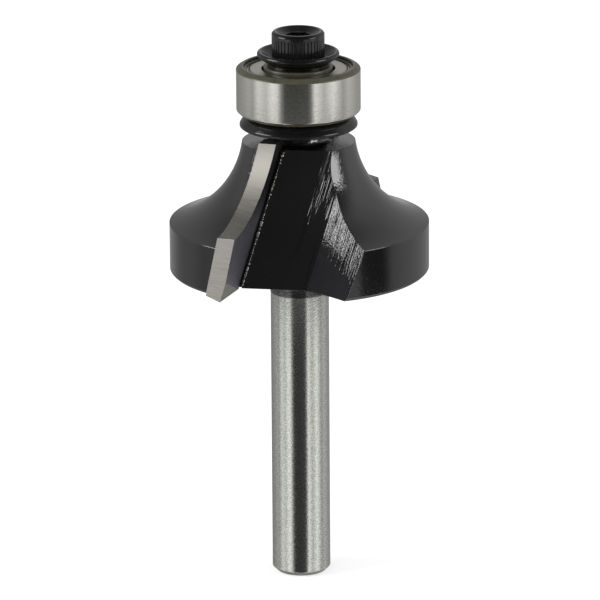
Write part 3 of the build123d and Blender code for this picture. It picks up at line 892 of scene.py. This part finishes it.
# ---- Operators
class ROUTERBIT_OT_stage(bpy.types.Operator):
    """Sets the floor, the studio's cards and lamps, and the camera"""
    bl_idname = "routerbit.stage"
    bl_label = "Stage"

    def execute(self, context):
        scene = context.scene
        scene.view_settings.view_transform = "Standard"
        make_camera(scene)
        make_floor()
        make_cards()
        make_table_cards()
        make_world(scene)
        make_lamps()
        return {"FINISHED"}


class ROUTERBIT_OT_body(bpy.types.Operator):
    """Turns and mills the shank and coated head in one piece"""
    bl_idname = "routerbit.body"
    bl_label = "Shank and head"

    def execute(self, context):
        coat, steel = finish(nonstick_coating), finish(ground_shank_steel)
        foot = finish(milled_coating, *FOOT_LINES, name="milled_coating_foot")
        wall = finish(milled_coating, *WALL_LINES, name="milled_coating_wall")
        flare = arc_points((RIM_R, RIM_TOP), (TOP_FACE_R, TOP_FACE), FLARE_R, 48)
        collar_r = SHANK_R + COAT_PROUD
        outline = [(0, 0, 0, 1), (SHANK_R - SHANK_CHAMFER, 0, 0.05, 1),
                   (SHANK_R, SHANK_CHAMFER, 0.05, 1), (SHANK_R, COAT_LOW, 0, 0),
                   (collar_r, COAT_LOW + 0.05, 0.02, 0),
                   (collar_r, SHANK_TOP - ROOT_CHAMFER, 0.05, 0),
                   (SHANK_R + ROOT_CHAMFER, SHANK_TOP, 0.05, 0),
                   (RIM_R - RIM_CHAMFER, SHANK_TOP, 0.06, 0),
                   (RIM_R, SHANK_TOP + RIM_CHAMFER, 0.06, 0), (*flare[0], 0.06, 0)]
        outline += [(r, z, 0, 0) for r, z in flare[1:-1]]
        outline += [(*flare[-1], 0.04, 0), (NECK_R, TOP_FACE, NECK_FILLET, 0),
                    (NECK_R, NECK_TOP, 0.04, 0), (SPIGOT_R, NECK_TOP, 0, 1),
                    (SPIGOT_R, SPIGOT_TOP - SPIGOT_CHAMFER, 0.03, 1),
                    (SPIGOT_R - SPIGOT_CHAMFER, SPIGOT_TOP, 0.03, 1),
                    (HOLE_R, SPIGOT_TOP, 0, 1), (HOLE_R, HOLE_LOW, 0, 1), (0, HOLE_POINT, 0, 1)]
        body = finish_mesh("bit_body_finished", lathe(outline, closed=False), [coat, steel])
        cutters = []
        for shape, finishes in ((gullet_bar, [coat, coat, foot, wall]), (pocket_bar, [coat])):
            front = shape()
            for end, bm in (("front", front), ("rear", turned_copy(front))):
                cutters.append(finish_mesh(f"{shape.__name__}_{end}", bm, finishes))
        carve(body, cutters)
        sharpen(body)
        place(body, "bit", "coated_steel", "bit_body")
        return {"FINISHED"}


class ROUTERBIT_OT_tips(bpy.types.Operator):
    """Grinds the two carbide tips and runs the braze along them"""
    bl_idname = "routerbit.tips"
    bl_label = "Carbide tips and braze"

    def execute(self, context):
        faces = [finish(ground_carbide), finish(lapped_carbide), finish(nonstick_coating)]
        tip, run = tip_mesh(), braze_run()
        for end, bm in (("front", tip), ("rear", turned_copy(tip))):
            stand_in(f"carbide_tip_{end}", bm, faces, "bit", "carbide", sharp=24.0)
        for end, bm in (("front", run), ("rear", turned_copy(run))):
            piece = finish_mesh(f"braze_{end}", bm, [finish(silver_braze)], sharp=180.0)
            place(piece, "bit", "carbide")
        return {"FINISHED"}


class ROUTERBIT_OT_bearing(bpy.types.Operator):
    """Turns the rings of the guide bearing, its upper shield and its snap ring"""
    bl_idname = "routerbit.bearing"
    bl_label = "Guide bearing"

    def execute(self, context):
        race, film = finish(lapped_bearing_steel), finish(heat_treated_film)
        sheet, wire = finish(pressed_sheet_steel), finish(drawn_spring_wire)
        low, high = (corner.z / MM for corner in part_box("bearing_outer_ring"))
        middle = (low + high) / 2

        recess = [(RECESS_R, 0, 0.06), (RECESS_R, WIRE_TOP, 0),
                  (RECESS_R + WIRE_SINK, WIRE_TOP, 0), (RECESS_R + WIRE_SINK, WIRE_FOOT, 0),
                  (RECESS_R, WIRE_FOOT, 0)]
        outline = [(GUIDE_R, low + LOWER_EDGE, 0.1, 0), (GUIDE_R, high - UPPER_EDGE, 0.1, 1),
                   (GUIDE_R - RING_EDGE, high, 0.2, 1)]
        # Painted shade: the bore wall and wire groove above the upper shield take the black
        # finish for the shadow in that recess.
        outline += [(r, high - depth, rounding, 2) for r, depth, rounding in recess]
        outline += [(RECESS_R, high - RECESS, 0, 1), (LAND_R, high - RECESS, 0, 0)]
        outline += reversed(hollow(middle, PITCH_R + BALL_R + BALL_PLAY - GROOVE_R, LAND_R))
        outline += [(LAND_R, low + RECESS, 0, 1), (RECESS_R, low + RECESS, 0, 1)]
        outline += [(r, low + depth, rounding, 1) for r, depth, rounding in reversed(recess)]
        outline += [(GUIDE_R - RING_EDGE, low, 0.2, 1)]
        stand_in("bearing_outer_ring", lathe(outline), [race, film, finish(black_oxide)],
                 "outer_race", "bearing_steel")

        outline = [(BORE_R, low, 0.1, 1), (INNER_LAND_R, low, 0.1, 0)]
        outline += hollow(middle, PITCH_R - BALL_R - BALL_PLAY + GROOVE_R, INNER_LAND_R)
        outline += [(INNER_LAND_R, high - 0.6, 0, 1), (INNER_LAND_R, high, 0.1, 1),
                    (BORE_R, high, 0.1, 0)]
        stand_in("bearing_inner_ring", lathe(outline), [race, film], "bit", "bearing_steel")

        shield = lathe(raised(SHIELD, high - RECESS))
        stand_in("shield_upper", shield, [sheet], "outer_race", "pressed_steel")
        ring = lathe(raised(SNAP_RING, high - RECESS), segments=SNAP_SEGMENTS, turn=SNAP_TURN,
                     start=SNAP_START)
        stand_in("snap_ring_upper", ring, [wire], "outer_race", "spring_steel")

        for name in [f"ball_{n}" for n in range(1, 8)]:
            dress(name, race)
        for name in ("cage_upper", "cage_lower", "cage_rivets", "shield_lower"):
            dress(name, sheet)
        dress("snap_ring_lower", wire)
        return {"FINISHED"}


class ROUTERBIT_OT_washers(bpy.types.Operator):
    """Turns the dust washer under the bearing and the dished washer over it"""
    bl_idname = "routerbit.washers"
    bl_label = "Washers"

    def execute(self, context):
        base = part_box("retaining_washer")[0].z / MM
        for node, profile, seat in (("dust_washer", DUST_WASHER, NECK_TOP),
                                    ("retaining_washer", RETAINING_WASHER, base)):
            washer = lathe(raised(profile, seat))
            stand_in(node, washer, [finish(black_oxide)], "bit", "black_oxide_steel")
        return {"FINISHED"}


class ROUTERBIT_OT_screw(bpy.types.Operator):
    """Turns, knurls and sockets the bearing screw"""
    bl_idname = "routerbit.screw"
    bl_label = "Bearing screw"

    def execute(self, context):
        sizes, oxide = context.scene.routerbit_sizes, finish(black_oxide)
        low, high = (corner.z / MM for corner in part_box("bearing_screw"))
        seat, knurl_top = high - HEAD_HEIGHT, high - KNURL_MARGIN
        knurl_low = seat + KNURL_LOW
        outline = [(0, low, 0, 0), (SCREW_R - 0.3, low, 0.05, 0), (SCREW_R, low + 0.3, 0.05, 0),
                   (SCREW_R, seat, 0.04, 0), (HEAD_R - 0.08, seat, 0.04, 0),
                   (HEAD_R, seat + 0.08, 0.04, 0)]
        outline += [(HEAD_R, knurl_low + (knurl_top - knurl_low) * k / KNURL_ROWS, 0, 0)
                    for k in range(KNURL_ROWS + 1)]
        outline += [(HEAD_R, knurl_top + KNURL_RUNOUT, 0, 0),
                    (HEAD_R, high - HEAD_CHAMFER[1], 0.06, 0),
                    (HEAD_R - HEAD_CHAMFER[0], high, 0.12, 0), (MOUTH_R, high, 0.04, 0),
                    (MOUTH_FLOOR_R, high - MOUTH_DEPTH, 0.03, 0), (0, high - MOUTH_DEPTH, 0, 0)]
        bm = lathe(outline, closed=False, segments=sizes.knurl_count * KNURL_STEPS)
        pitch = 2 * pi / sizes.knurl_count
        half = KNURL_HALF_WIDTH / HEAD_R
        for vert in bm.verts:
            reach = Vector(vert.co[:2]).length
            if reach < HEAD_R - 1e-4 or vert.co.z > knurl_top + 1e-4:
                continue
            angle = (atan2(vert.co.y, vert.co.x) + pitch / 2) % pitch - pitch / 2
            cut = sizes.knurl_depth / MM * max(0.0, 1 - abs(angle) / half)
            vert.co.x *= (HEAD_R - cut) / HEAD_R
            vert.co.y *= (HEAD_R - cut) / HEAD_R
        screw = finish_mesh("bearing_screw_finished", bm, [oxide])
        corner = SOCKET_HALF_WIDTH / cos(pi / 6)
        hexagon = [(corner * cos(pi / 3 * k), corner * sin(pi / 3 * k), high - SOCKET_DEPTH)
                   for k in range(6)]
        socket = prism(hexagon, Vector((0, 0, 2 * SOCKET_DEPTH)))
        carve(screw, [finish_mesh("socket_bar", socket, [oxide])])
        sharpen(screw)
        place(screw, "bit", "black_oxide_steel", "bearing_screw")
        return {"FINISHED"}


OPERATORS = (ROUTERBIT_OT_stage, ROUTERBIT_OT_body, ROUTERBIT_OT_tips, ROUTERBIT_OT_bearing,
             ROUTERBIT_OT_washers, ROUTERBIT_OT_screw)


class ROUTERBIT_PT_panel(bpy.types.Panel):
    """Lists the pieces of the router bit"""
    bl_idname = "ROUTERBIT_PT_panel"
    bl_label = "Router bit"
    bl_space_type = "VIEW_3D"
    bl_region_type = "UI"
    bl_category = "Router bit"

    def draw(self, context):
        for operator in OPERATORS:
            self.layout.operator(operator.bl_idname)
        for group in (context.scene.routerbit_sizes, context.scene.routerbit_colours):
            for name in group.__annotations__:
                self.layout.prop(group, name)


CLASSES = (RouterBitSizes, RouterBitColours, *OPERATORS, ROUTERBIT_PT_panel)


def register():
    for cls in CLASSES:
        bpy.utils.register_class(cls)
    bpy.types.Scene.routerbit_sizes = PointerProperty(type=RouterBitSizes)
    bpy.types.Scene.routerbit_colours = PointerProperty(type=RouterBitColours)


def unregister():
    del bpy.types.Scene.routerbit_sizes, bpy.types.Scene.routerbit_colours
    for cls in reversed(CLASSES):
        bpy.utils.unregister_class(cls)


def main():
    """Builds every piece in order."""
    register()
    for operator in OPERATORS:
        getattr(bpy.ops.routerbit, operator.bl_idname.split(".")[1])()


if __name__ == "__main__":
    main()
